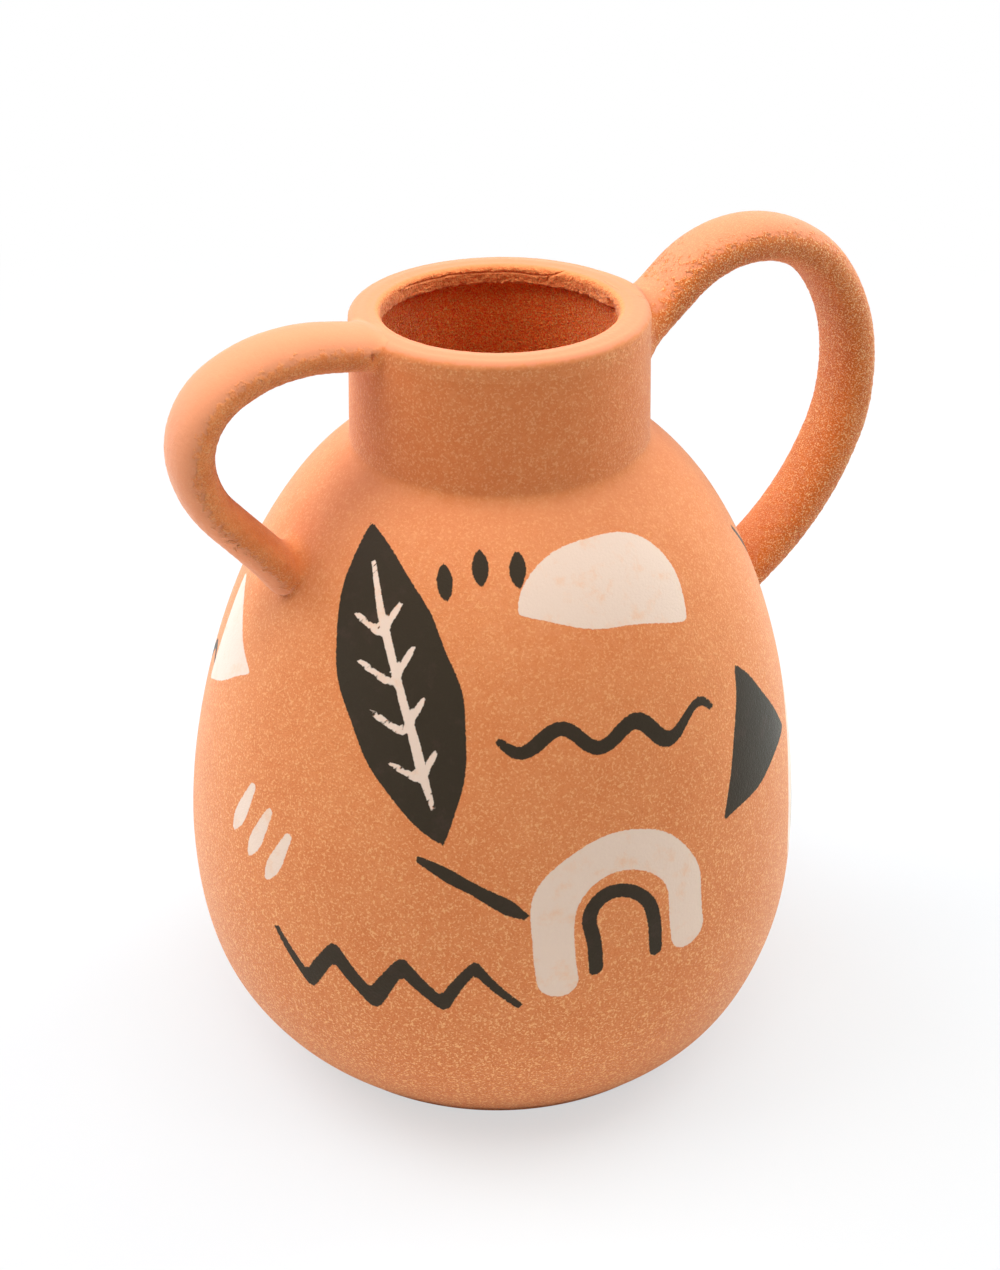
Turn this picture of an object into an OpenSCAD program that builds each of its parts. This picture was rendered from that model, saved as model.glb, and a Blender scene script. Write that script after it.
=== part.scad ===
// Two-handled ceramic pitcher: an egg-shaped body with a straight neck, a thick flat lip,
// a small handle on the -X side and a tall one on the +X side. It stands on z = 0.

/* [Body] */
// Widest outside diameter of the body
belly_d = 190; // [170:1:210]
// Height of the widest level above the ground
belly_z = 64.5; // [56:0.5:74]
// Outside diameter of the foot
foot_d = 143; // [124:1:154]
// Height at which the shoulder meets the neck
shoulder_z = 194.5; // [184:0.5:206]
// Thickness of the body's wall
wall = 6; // [4:0.5:8]
// Fullness of the body below its widest level, where 2 is an ellipse
low_fullness = 2.5; // [2.2:0.05:2.8]
// Fullness of the shoulder, where 2 is an ellipse
shoulder_fullness = 2.65; // [2.3:0.05:3]
// How late the shoulder turns inwards, where 2 is an ellipse
shoulder_turn = 1.7; // [1.5:0.05:1.95]

/* [Base] */
// Thickness of the slab that closes the body below
slab_t = 8; // [6:0.5:11]
// Bevel round the foot's lower edge
foot_bevel = 1.2; // [0.6:0.1:2.4]
// Leg of the clay coil in the inside corner of the base
base_coil = 9; // [6:0.5:12]

/* [Neck and lip] */
// Height of the neck with its lip, above the shoulder
neck_h = 39; // [30:0.5:48]
// Outside diameter of the neck at the shoulder
neck_d = 87; // [78:0.5:96]
// Outside diameter of the lip
lip_d = 85; // [78:0.5:94]
// Thickness of the neck's wall
neck_wall = 7; // [5:0.5:8]
// Width of the lip, which overhangs the inside of the neck
lip_t = 9; // [8.2:0.2:12]
// Height of the roll of clay that makes the lip
lip_h = 6; // [5:0.2:9]
// Rounding of the lip's two upper edges
lip_round = 2.2; // [1:0.1:4]
// Leg of the fillet between the shoulder and the neck
neck_fillet = 3.5; // [2.5:0.5:6]

/* [Handles] */
// Width of both handles across their loop
handle_w = 21; // [17:0.5:25]
// How far the clay round a handle's root spreads beyond the handle
luting_spread = 3; // [2:0.2:5]
// How far that clay reaches along the handle from where it enters the body
luting_reach = 9; // [6:0.5:13]

/* [Small handle] */
// Thickness of the small handle in its loop
small_t = 12; // [9:0.5:14]
// Depth of its upper root's centre below the lip's top
small_root_drop = 4.5; // [4.5:0.1:8]
// Angle at which it rises from the neck
small_rise_angle = 10; // [6:1:14]
// Straight stretch from the neck to its first bend
small_lead = 12; // [8:0.5:20]
// Radius of its upper bend, along the centre line
small_top_r = 40; // [34:0.5:46]
// Angle of its upper bend
small_top_angle = 41.5; // [35:0.5:47]
// Radius of its outer bend
small_side_r = 22; // [19:0.5:26]
// Angle of its outer bend
small_side_angle = 67.5; // [61:0.5:74]
// Radius of its lower bend
small_low_r = 35; // [29:0.5:41]
// Angle of its lower bend
small_low_angle = 30; // [24:0.5:36]

/* [Large handle] */
// Thickness of the large handle at the neck
large_top_t = 12.6; // [10:0.2:15]
// Thickness of the large handle at the belly
large_low_t = 14.6; // [11:0.2:17]
// Depth of its upper root's centre below the lip's top
large_root_drop = 15.5; // [13:0.5:18]
// Angle at which it rises from the neck
large_rise_angle = 41; // [35:1:46]
// Straight stretch from the neck to its first bend
large_lead = 21; // [14:0.5:26]
// Radius of its upper bend, along the centre line
large_top_r = 36; // [31:0.5:42]
// Angle of its upper bend
large_top_angle = 94; // [88:1:100]
// Radius of its outer bend
large_side_r = 57; // [50:0.5:66]
// Angle of its outer bend
large_side_angle = 53; // [47:1:59]
// Radius of its lower bend
large_low_r = 86; // [75:1:100]
// Angle of its lower bend
large_low_angle = 34; // [28:1:40]

/* [Hidden] */
$fn = 96;

clay = [0.86, 0.52, 0.31];
clay_deep = [0.75, 0.42, 0.24];

belly_r = belly_d / 2;
foot_r = foot_d / 2;
neck_r = neck_d / 2;
lip_r = lip_d / 2;
bore_r = lip_r - neck_wall;             // inside of the neck
lip_z = shoulder_z + neck_h;            // top of the lip
lip_base_z = lip_z - lip_h;             // where the lip's roll sits on the neck
lip_mid_r = lip_r - lip_t / 2;          // circle along the middle of the lip

low_steps = 16;                         // bands of the outline below the belly
high_steps = 26;                        // and above it
ring_sides = 24;                        // sides of a handle's section
bend_step = 6;                          // degrees between a handle's rings in a bend
tail_step = 2;                          // distance between its rings on the straight into the body
tail_rings = 40;                        // enough of them to reach the body
root_depth = 8;                         // how far a handle's core is followed inside before it is trimmed
luting_depth = 7;                       // how far the luting is followed into the body before it is trimmed
luting_rings = 5;
luting_edge = 0.6;                      // thickness of the clay at the luting's upper edge

// Half-heights at which the two egg curves would close on the axis.
low_h = belly_z / pow(1 - pow(foot_r / belly_r, low_fullness), 1 / low_fullness);
high_h = (shoulder_z - belly_z) / pow(1 - pow(neck_r / belly_r, shoulder_fullness), 1 / shoulder_turn);

// Radius of the egg at height z, drawn in by an even inset.
function egg_r(z, inset = 0) =
    let (r = belly_r - inset)
    z < belly_z
        ? r * pow(max(0, 1 - pow((belly_z - z) / (low_h - inset), low_fullness)), 1 / low_fullness)
        : r * pow(max(0, 1 - pow((z - belly_z) / (high_h - inset), shoulder_turn)), 1 / shoulder_fullness);

// Radius of the neck and lip at height z.
function neck_outer_r(z) =
    z >= lip_base_z ? lip_r : neck_r + (lip_r - neck_r) * (z - shoulder_z) / (lip_base_z - shoulder_z);

// Outline points of the egg between two heights, closer together where it curves in.
function egg_points(z0, z1, inset = 0) = concat(
    [for (i = [0 : low_steps]) let (z = z0 + (belly_z - z0) * i / low_steps) [egg_r(z, inset), z]],
    [for (i = [1 : high_steps])
        let (z = belly_z + (z1 - belly_z) * sin(90 * i / high_steps)) [egg_r(z, inset), z]]
);

// The filled outline of the body, from the ground up to the shoulder's top.
module body_outline() {
    foot = [[0, 0], [foot_r - foot_bevel, 0]];
    polygon(concat(foot, egg_points(foot_bevel, shoulder_z), [[0, shoulder_z]]));
}

// The hollow of the body, open up into the neck.
module cavity_outline() {
    top_z = min(belly_z + high_h - wall, shoulder_z);
    polygon(concat([[0, 0]], egg_points(0, top_z, wall), [[0, top_z]]));
    translate([0, belly_z])
        square([bore_r, lip_z - belly_z]);
}

module neck_outline() {
    polygon([[0, shoulder_z], [neck_r, shoulder_z], [lip_r, lip_base_z], [0, lip_base_z]]);
}

module lip_outline() {
    translate([lip_r - lip_t, lip_base_z])
        square([lip_t, lip_h - lip_round]);
    translate([lip_r - lip_t + lip_round, lip_base_z])
        square([lip_t - 2 * lip_round, lip_h]);
    for (r = [lip_r - lip_t + lip_round, lip_r - lip_round])
        translate([r, lip_z - lip_round])
            circle(r = lip_round);
}

// The whole pitcher without handles, filled: it trims the handles to its outside.
module filled_pot() {
    rotate_extrude() {
        body_outline();
        neck_outline();
        lip_outline();
        translate([0, lip_base_z])
            square([lip_mid_r, lip_h]);
    }
}

module base_slab() {
    color(clay)
        rotate_extrude()
            intersection() {
                body_outline();
                square([belly_r, slab_t]);
            }
}

module base_luting() {
    corner_r = egg_r(slab_t, wall);
    top_z = slab_t + base_coil;
    color(clay_deep)
        rotate_extrude()
            intersection() {
                cavity_outline();
                polygon([[corner_r - base_coil, slab_t], [belly_r, slab_t], [egg_r(top_z, wall), top_z]]);
            }
}

module body_wall() {
    color(clay)
        rotate_extrude()
            difference() {
                body_outline();
                square([belly_r, slab_t]);
                cavity_outline();
            }
}

module neck_luting() {
    foot_z = shoulder_z - neck_fillet;
    top_z = shoulder_z + neck_fillet;
    inner_r = neck_r - neck_fillet;
    color(clay)
        rotate_extrude()
            difference() {
                polygon([[inner_r, foot_z], [egg_r(foot_z), foot_z], [neck_r, top_z], [inner_r, top_z]]);
                body_outline();
                neck_outline();
            }
}

module neck_collar() {
    color(clay)
        rotate_extrude()
            difference() {
                neck_outline();
                translate([0, shoulder_z])
                    square([bore_r, lip_z - shoulder_z]);
            }
}

module rim_roll() {
    color(clay)
        rotate_extrude()
            lip_outline();
}

// A handle's path is a list of [distance out, height, heading]. A heading of 0 points away from the neck.
function straight(p, len, n) =
    [for (i = [1 : n]) [p[0] + len * i / n * cos(p[2]), p[1] + len * i / n * sin(p[2]), p[2]]];

function bend(p, r, turn) =
    let (n = ceil(turn / bend_step))
    [for (i = [1 : n])
        let (h = p[2] - turn * i / n)
        [p[0] + r * (sin(p[2]) - sin(h)), p[1] + r * (cos(h) - cos(p[2])), h]];

function last(list) = list[len(list) - 1];

function extend(path, bends, i = 0) =
    i == len(bends) ? path : extend(concat(path, bend(last(path), bends[i][0], bends[i][1])), bends, i + 1);

// From inside the neck, out along the lead, round the bends and straight on into the body.
function handle_path(root_drop, rise, lead, bends) =
    let (
        root_z = lip_z - root_drop,
        root = [neck_outer_r(root_z), root_z, rise],
        start = [lip_mid_r, root_z - (root[0] - lip_mid_r) * tan(rise), rise],
        bent = extend(concat([start, root], straight(root, lead, 4)), bends)
    )
    concat(bent, straight(last(bent), tail_step * tail_rings, tail_rings));

// Index of the first ring, past the handle's highest part, whose centre is inside the body.
function entry(path, i = 8) =
    i >= len(path) - 1 || path[i][0] < egg_r(path[i][1]) ? i : entry(path, i + 1);

function trimmed(path) =
    let (stop = min(len(path) - 1, entry(path) + root_depth / tail_step))
    [for (i = [0 : stop]) path[i]];

small_path = trimmed(handle_path(small_root_drop, small_rise_angle, small_lead,
    [[small_top_r, small_top_angle], [small_side_r, small_side_angle], [small_low_r, small_low_angle]]));
large_path = trimmed(handle_path(large_root_drop, large_rise_angle, large_lead,
    [[large_top_r, large_top_angle], [large_side_r, large_side_angle], [large_low_r, large_low_angle]]));

// Points of an oval ring round a path point, with its thickness in the loop's plane.
function ring(p, w, t) =
    [for (k = [0 : ring_sides - 1])
        let (a = 360 * k / ring_sides, out = t / 2 * cos(a))
        [p[0] - out * sin(p[2]), w / 2 * sin(a), p[1] + out * cos(p[2])]];

// A closed tube through a list of rings, each of ring_sides points.
module tube(rings) {
    n = len(rings);
    s = ring_sides;
    polyhedron(
        points = [for (r = rings) each r],
        faces = concat(
            [[for (k = [s - 1 : -1 : 0]) k]],
            [for (i = [0 : n - 2], k = [0 : s - 1])
                let (a = i * s + k, b = i * s + (k + 1) % s)
                each [[a, b, a + s], [b, b + s, a + s]]],
            [[for (k = [0 : s - 1]) (n - 1) * s + k]]
        )
    );
}

module handle(path, top_t, low_t) {
    tube([for (i = [0 : len(path) - 1])
        ring(path[i], handle_w, top_t + (low_t - top_t) * i / (len(path) - 1))]);
}

// Clay worked round a root: it spreads where it meets the body and thins out along the heading `dir`.
module luting(root, dir, t) {
    tube([for (i = [-1 : luting_rings])
        let (
            s = i < 0 ? -luting_depth : luting_reach * i / luting_rings,
            grow = luting_edge + luting_spread * pow(1 - max(0, i) / luting_rings, 2)
        )
        ring([root[0] + s * cos(dir), root[1] + s * sin(dir), dir], handle_w + 2 * grow, t + 2 * grow)]);
}

module small_bow() {
    mirror([1, 0, 0])
        handle(small_path, small_t, small_t);
}

module large_bow() {
    handle(large_path, large_top_t, large_low_t);
}

module below_lip() {
    translate([-belly_d, -belly_d, 0])
        cube([belly_d * 2, belly_d * 2, lip_z]);
}

module small_handle() {
    color(clay)
        difference() {
            small_bow();
            filled_pot();
        }
}

module large_handle() {
    color(clay)
        difference() {
            large_bow();
            filled_pot();
        }
}

module small_handle_upper_luting() {
    color(clay_deep)
        difference() {
            intersection() {
                mirror([1, 0, 0])
                    luting(small_path[1], small_rise_angle, small_t);
                below_lip();
            }
            filled_pot();
            small_bow();
        }
}

module small_handle_lower_luting() {
    root = small_path[entry(small_path)];
    color(clay_deep)
        difference() {
            mirror([1, 0, 0])
                luting(root, root[2] + 180, small_t);
            filled_pot();
            small_bow();
        }
}

module large_handle_upper_luting() {
    color(clay_deep)
        difference() {
            luting(large_path[1], large_rise_angle, large_top_t);
            filled_pot();
            large_bow();
        }
}

module large_handle_lower_luting() {
    root = large_path[entry(large_path)];
    color(clay_deep)
        difference() {
            luting(root, root[2] + 180, large_low_t);
            filled_pot();
            large_bow();
        }
}

base_slab();
base_luting();
body_wall();
neck_luting();
neck_collar();
rim_roll();
small_handle();
small_handle_upper_luting();
small_handle_lower_luting();
large_handle();
large_handle_upper_luting();
large_handle_lower_luting();
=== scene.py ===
import math

import bpy
import numpy as np
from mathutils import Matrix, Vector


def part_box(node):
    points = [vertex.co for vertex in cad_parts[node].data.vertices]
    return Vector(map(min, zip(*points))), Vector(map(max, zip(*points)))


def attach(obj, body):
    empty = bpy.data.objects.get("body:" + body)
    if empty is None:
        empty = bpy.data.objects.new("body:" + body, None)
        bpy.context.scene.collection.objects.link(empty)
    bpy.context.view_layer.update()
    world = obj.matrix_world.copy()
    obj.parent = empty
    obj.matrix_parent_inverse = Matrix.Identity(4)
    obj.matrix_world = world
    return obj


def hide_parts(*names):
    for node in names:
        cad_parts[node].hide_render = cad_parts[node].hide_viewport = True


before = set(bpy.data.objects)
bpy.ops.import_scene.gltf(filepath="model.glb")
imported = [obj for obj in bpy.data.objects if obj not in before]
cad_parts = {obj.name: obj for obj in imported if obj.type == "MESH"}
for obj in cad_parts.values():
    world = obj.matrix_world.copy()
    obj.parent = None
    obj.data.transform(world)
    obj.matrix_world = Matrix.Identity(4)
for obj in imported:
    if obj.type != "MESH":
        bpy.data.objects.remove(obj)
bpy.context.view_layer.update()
mm = 0.001
fullTurn = 2 * math.pi
print("frame: the pot's pieces are in place")


# node helpers, for shapes and materials alike

bench = {"tree": None, "made": None}       # the node tree that is being built, and what it puts out


class Wire:
    # a node's output that sums can be made with
    def __init__(self, socket):
        self.socket = socket
        self.calculate = vectors if socket.type in ("VECTOR", "RGBA") else maths

    def __add__(self, other):
        return self.calculate("ADD", self, other)

    def __sub__(self, other):
        return self.calculate("SUBTRACT", self, other)

    def __rsub__(self, other):
        return self.calculate("SUBTRACT", other, self)

    def __mul__(self, other):
        if isinstance(other, tuple):
            return scaled(other, self)
        return scaled(self, other) if self.calculate is vectors else maths("MULTIPLY", self, other)

    __rmul__ = __mul__

    def __truediv__(self, other):
        return self * (1 / other) if self.calculate is vectors else maths("DIVIDE", self, other)

    def __rtruediv__(self, other):
        return maths("DIVIDE", other, self)


def feed(socket, value):
    value = getattr(value, "socket", value)
    if isinstance(value, bpy.types.NodeSocket):
        bench["tree"].links.new(value, socket)
    else:
        socket.default_value = value


def add(kind, feeds=None, **settings):
    made = bench["tree"].nodes.new(kind)
    for name, value in settings.items():
        setattr(made, name, value)
    for socket, value in (feeds or {}).items():
        feed(made.inputs[socket], value)
    return made


def wire(kind, feeds=None, output=0, **settings):
    return Wire(add(kind, feeds, **settings).outputs[output])


def maths(operation, *terms):
    return wire("ShaderNodeMath", dict(enumerate(terms)), operation=operation)


def vectors(operation, *terms):
    output = "Value" if operation in ("LENGTH", "DOT_PRODUCT") else "Vector"
    return wire("ShaderNodeVectorMath", dict(enumerate(terms)), output, operation=operation)


def scaled(vector, scale):
    return wire("ShaderNodeVectorMath", {0: vector, "Scale": scale}, operation="SCALE")


def ease(value, low, high, start=0.0, end=1.0):
    feeds = {"Value": value, "From Min": low, "From Max": high, "To Min": start, "To Max": end}
    return wire("ShaderNodeMapRange", feeds, interpolation_type="SMOOTHSTEP")


def noise(place, scale, detail, roughness, seed=None, output="Fac"):
    feeds = {"Vector": place, "Scale": scale, "Detail": detail, "Roughness": roughness}
    if seed is None:
        return wire("ShaderNodeTexNoise", feeds, output)
    return wire("ShaderNodeTexNoise", {**feeds, "W": seed}, output, noise_dimensions="4D")


def parts(vector):
    return [Wire(socket) for socket in add("ShaderNodeSeparateXYZ", {"Vector": vector}).outputs]


def combined(x, y, z):
    return wire("ShaderNodeCombineXYZ", {"X": x, "Y": y, "Z": z})


def level(vector):
    # the part of it that lies level
    return vectors("MULTIPLY", vector, (1, 1, 0))


def heading(degrees):
    turn = math.radians(degrees)
    return math.cos(turn), math.sin(turn), 0


def newGroup(name, kind, inputs, outputs):
    # inputs give a default value each, or the kind of socket where there is none
    tree = bench["tree"] = bpy.data.node_groups.new(name, kind)
    kinds = {int: "Int", float: "Float", tuple: "Color"}
    for label, value in inputs.items():
        socketKind = value if isinstance(value, str) else kinds[type(value)]
        item = tree.interface.new_socket(label, in_out="INPUT", socket_type="NodeSocket" + socketKind)
        if socketKind is not value:
            item.default_value = value
    for label, socketKind in outputs.items():
        tree.interface.new_socket(label, in_out="OUTPUT", socket_type="NodeSocket" + socketKind)
    bench["made"] = tree.nodes.new("NodeGroupOutput").inputs
    return {label: Wire(socket) for label, socket in zip(inputs, tree.nodes.new("NodeGroupInput").outputs)}


def putOut(**results):
    for label, value in results.items():
        feed(bench["made"][label], value)
    return bench["tree"]


def newShape(name, inputs, first="Geometry"):
    return newGroup(name, "GeometryNodeTree", {first: "Geometry", **inputs}, {"Geometry": "Geometry"})


def shifted(geometry, offset):
    return wire("GeometryNodeSetPosition", {"Geometry": geometry, "Offset": offset})


# the pot's outline, shared by every piece

def halfWidth(node):
    low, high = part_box(node)
    return (high.y - low.y) / 2


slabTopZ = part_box("base_slab")[1].z
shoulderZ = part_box("neck_collar")[0].z
lipBaseZ, lipZ = (corner.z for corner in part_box("rim_roll"))
bellyR = halfWidth("body_wall")
neckR = halfWidth("neck_collar")
lipR = halfWidth("rim_roll")

outline = {
    "bellyZ": 64.5 * mm,
    "footR": 71.5 * mm,
    "lowFullness": 2.5,
    "shoulderFullness": 2.65,
    "shoulderTurn": 1.7,
    "wall": 6 * mm,
    "neckWall": 7 * mm,
    "neckBlend": 3.5 * mm,        # softness of the corner between shoulder and neck
    "boreBlend": 5 * mm,
}
bellyZ, wall = outline["bellyZ"], outline["wall"]
boreR = lipR - outline["neckWall"]
lowFullness = outline["lowFullness"]
shoulderFullness = outline["shoulderFullness"]
shoulderTurn = outline["shoulderTurn"]
lowH = bellyZ / (1 - (outline["footR"] / bellyR) ** lowFullness) ** (1 / lowFullness)
highH = (shoulderZ - bellyZ) / (1 - (neckR / bellyR) ** shoulderFullness) ** (1 / shoulderTurn)


def eggR(z, inset=0.0):
    z = np.asarray(z, float)
    low = np.clip((bellyZ - z) / (lowH - inset), 0, 1)
    high = np.clip((z - bellyZ) / (highH - inset), 0, 1)
    below = (1 - low ** lowFullness) ** (1 / lowFullness)
    above = (1 - high ** shoulderTurn) ** (1 / shoulderFullness)
    return (bellyR - inset) * np.where(z < bellyZ, below, above)


def innerEggR(z):
    return eggR(z, wall)


def collarR(z):
    return np.interp(z, [shoulderZ, lipBaseZ], [neckR, lipR])


def smoothMax(a, b, softness):
    meet = np.maximum(softness - np.abs(a - b), 0) / softness
    return np.maximum(a, b) + meet ** 2 * softness / 4


def skinR(z):
    return smoothMax(eggR(z), collarR(z), outline["neckBlend"])


def cavityR(z):
    return smoothMax(innerEggR(z), boreR, outline["boreBlend"])


def curve(radius, start, end, count=400):
    z = np.linspace(start, end, count)
    return np.stack([radius(z), z], 1)


def arc(x, z, radius, start, end, count=24):
    turn = np.radians(np.linspace(start, end, count))
    return np.stack([x + radius * np.cos(turn), z + radius * np.sin(turn)], 1)


def lengthsAlong(points):
    return np.r_[0, np.cumsum(np.hypot(*np.diff(points, axis=0).T))]


def evened(points, step, edge=0.08 * mm):
    # points an even step apart, with one close to each end, so that shading is true up to a joint
    points = np.asarray(points, float)
    along = lengthsAlong(points)
    length = along[-1]
    if length < 4 * edge:
        return points[[0, -1]]
    count = max(2, int(round(length / step)) + 1)
    at = np.r_[0, edge, np.linspace(0, length, count)[1:-1], length - edge, length]
    return np.stack([np.interp(at, along, points[:, 0]), np.interp(at, along, points[:, 1])], 1)


def loop(*stretches):
    # (points, step) stretches end to end, without doubled corners
    rows = [evened(points, step)[:-1] for points, step in stretches]
    return np.vstack(rows + [np.asarray(stretches[-1][0], float)[-1:]])


# what the hand leaves in the clay: one gentle warp for all pieces, so that they still meet

hand = {
    "lean": -27,                # degrees: the way in which the neck stands off the belly's centre
    "bellyShift": -1.6 * mm,
    "neckShift": 0.8 * mm,
    "tilt": 0.017,              # slope of the lip, up towards the front
    "tiltTo": -100,             # degrees: the way in which it rises
    "lipRise": 0.8 * mm,
    "wobble": 0.45 * mm,
    "wobbleSize": 75 * mm,
    "steadyFoot": 14 * mm,      # the wobble grows from nothing over this height
    "fadeOut": (4 * mm, 26 * mm),       # lean and tilt fade out over this distance from the lip
    "fadeBelow": 24 * mm,       # but only from the shoulder up, growing over this height below it
    "seed": 4.0,
}


def makeHandWarp():
    given = newShape("handWarp", {
        "Belly Shift": hand["bellyShift"], "Neck Shift": hand["neckShift"], "Tilt": hand["tilt"],
        "Lip Rise": hand["lipRise"], "Wobble": hand["wobble"], "Wobble Size": hand["wobbleSize"],
        "Seed": hand["seed"]})
    place = wire("GeometryNodeInputPosition")
    height = parts(place)[2]
    out = vectors("LENGTH", level(place))
    # the belly goes one way and the neck the other
    belly = ease(height, 0, bellyZ / 2) * ease(height, bellyZ, 2.4 * bellyZ, 1, 0)
    neckShare = ease(height, 2 * bellyZ, shoulderZ + 4 * mm)
    shift = belly * given["Belly Shift"] + neckShare * given["Neck Shift"]
    # the lip is not quite level
    up = vectors("DOT_PRODUCT", place, heading(hand["tiltTo"]))
    slope = (up * given["Tilt"] + given["Lip Rise"]) * ease(height, shoulderZ, lipBaseZ)
    # both fade out along the handles
    near, far = hand["fadeOut"]
    away = ease(out, lipR + near, lipR + far) * ease(height, shoulderZ - hand["fadeBelow"], shoulderZ)
    moved = (heading(hand["lean"]) * shift + combined(0, 0, slope)) * (1 - away)
    waves = noise(place / given["Wobble Size"], 1.0, 2.0, 0.45, given["Seed"], "Color")
    wobble = (waves - (0.5, 0.5, 0.5)) * (given["Wobble"] * ease(height, 0, hand["steadyFoot"], 0, 2))
    return putOut(Geometry=shifted(given["Geometry"], moved + wobble))


# grit that stands out of the clay, coarser where no hand has rubbed it

grit = {
    "height": 0.24 * mm,
    "size": 1.2 * mm,
    "grains": (0.38, 0.68),
    "relief": (-0.35, 0.65),    # pits' depth and grains' height, as shares of the grit's height
    "rubbedFrom": (-0.2, 0.75),         # hands have smoothed what faces up: (nothing, most)
    "rubbedTo": 0.3,            # share of the grit that they leave there
    "seed": 7.0,
}


def makeGritSkin():
    given = newShape("gritSkin", {
        "Amount": 1.0, "Height": grit["height"], "Size": grit["size"], "Seed": grit["seed"]})
    normal = wire("GeometryNodeInputNormal")
    sand = noise(wire("GeometryNodeInputPosition") / given["Size"], 1.0, 2.0, 0.6, given["Seed"])
    rubbed = ease(parts(normal)[2], *grit["rubbedFrom"], 1.0, grit["rubbedTo"])
    bump = ease(sand, *grit["grains"], *grit["relief"])
    size = given["Height"] * given["Amount"] * rubbed
    return putOut(Geometry=shifted(given["Geometry"], normal * (bump * size)))


# clay pressed by a finger: a dab that stands out, or a dent when its height is below nought

dabs = [
    {"At": (-43.2 * mm, -11.0 * mm, 229.4 * mm), "Size": 3.8 * mm, "Height": -0.8 * mm, "Moat": 0.8},
    {"At": (-75.0 * mm, -7.5 * mm, 162.5 * mm), "Size": 9.0 * mm, "Height": 0.8 * mm, "Moat": 0.0},
]


def makePressedDab():
    given = newShape("pressedDab", {"At": "Vector", "Size": 4.0 * mm, "Height": 0.6 * mm, "Moat": 1.0})
    gap = vectors("LENGTH", wire("GeometryNodeInputPosition") - given["At"])
    share = gap / given["Size"]
    wave = maths("COSINE", share * (1.5 * math.pi)) - 1.0
    shape = ease(share, 0.0, 1.0, 1.0, 0.0) * (wave * given["Moat"] + 1.0)
    offset = wire("GeometryNodeInputNormal") * (shape * given["Height"])
    return putOut(Geometry=shifted(given["Geometry"], offset))


handWarp = makeHandWarp()
gritSkin = makeGritSkin()
pressedDab = makePressedDab()


def finishTree(geometry, given, amount):
    # grit, dabs, warp, sharp edges, then plain geometry with its material
    geometry = wire("GeometryNodeGroup", {
        "Geometry": geometry, "Amount": amount, "Height": given["Grit Height"], "Size": given["Grit Size"]},
        node_tree=gritSkin)
    for dab in dabs:
        geometry = wire("GeometryNodeGroup", {"Geometry": geometry, **dab}, node_tree=pressedDab)
    geometry = wire("GeometryNodeGroup", {"Geometry": geometry}, node_tree=handWarp)
    angle = wire("GeometryNodeInputMeshEdgeAngle")
    sharp = wire("FunctionNodeCompare", {"A": angle, "B": given["Sharp Angle"]}, operation="GREATER_THAN")
    geometry = wire("GeometryNodeSetShadeSmooth", {"Geometry": geometry, "Shade Smooth": True}, domain="FACE")
    geometry = wire("GeometryNodeSetShadeSmooth",
                    {"Geometry": geometry, "Selection": sharp, "Shade Smooth": False}, domain="EDGE")
    geometry = wire("GeometryNodeRealizeInstances", {"Geometry": geometry})
    return putOut(Geometry=wire("GeometryNodeSetMaterial", {"Geometry": geometry, "Material": given["Clay"]}))


# wear inside the lip: a scored line that forks, a ragged lower edge and a chip

wear = {
    "radius": 35.2 * mm,        # the wear starts inside this radius
    "fade": 1.2 * mm,
    "ragged": 0.9 * mm,
    "raggedSize": 3.4 * mm,
    "raggedFrom": (0.8 * mm, 2.4 * mm),         # (nothing, all) at these depths under the lip's top
    "liftFrom": (3.5 * mm, 5.8 * mm),
    "lift": 2.2,
    "score": 0.34 * mm,
    "scoreWidth": 0.24 * mm,
    "chip": 1.3 * mm,
    "chipAt": -9,               # degrees round
    "chipHalf": (0.04, 0.12),   # radians from its middle: (all, nothing)
    "chipFrom": (2.6 * mm, 3.6 * mm),
    # (degrees round, mm under the lip's top) along the scored line and its fork
    "line": [(117, 2.0), (100, 2.3), (87, 2.1), (70, 2.5), (57, 2.4), (46, 2.8), (40, 2.6), (35.5, 2.2),
             (30, 0.7)],
    "fork": [(36, 2.3), (38, 3.1), (38.5, 4.3)],
}


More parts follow.
